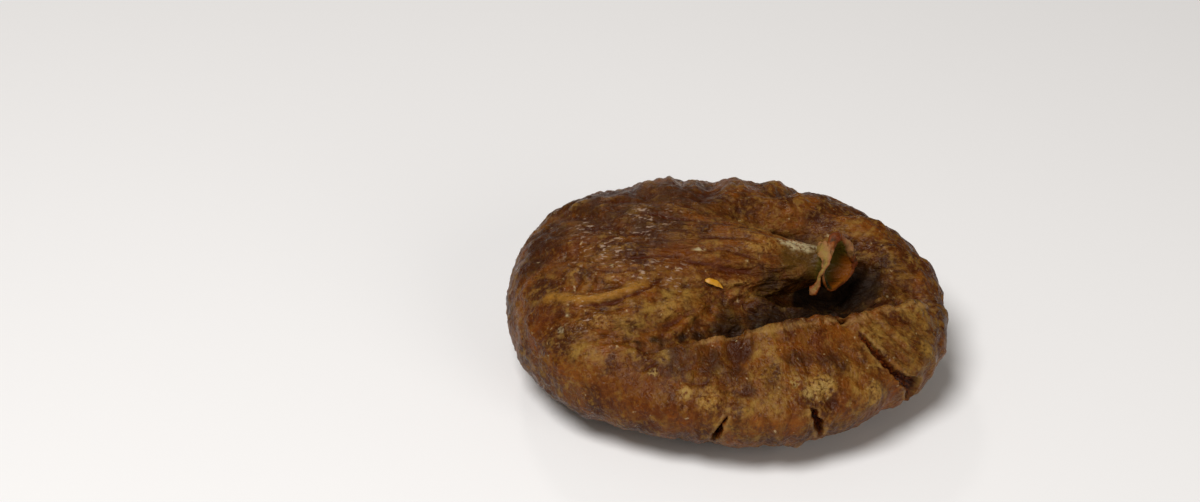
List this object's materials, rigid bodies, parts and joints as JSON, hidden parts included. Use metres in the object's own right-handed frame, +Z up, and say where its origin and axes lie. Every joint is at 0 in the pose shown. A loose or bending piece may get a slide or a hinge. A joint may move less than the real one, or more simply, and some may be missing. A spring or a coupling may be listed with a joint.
{
  "type": "dried fig",
  "caption": "Whole dried fig pressed flat, with ribbed wrinkled skin, a folded neck, a torn stalk and small splits.",
  "frame": {"origin": "middle of the flat spot on the underside, where the fig rests on its surface", "axes": "+Z up out of the surface, +X the way that the folded neck points, +Y towards the side away from the front lip"},
  "size_m": [0.0495, 0.0445, 0.018],
  "materials": {
    "fig_skin": "satin, wrinkled, slightly sticky, darker in the folds and tan on the ribs"
  },
  "bodies": {
    "root": {"fig": "fig_skin"}
  },
  "joints": []
}
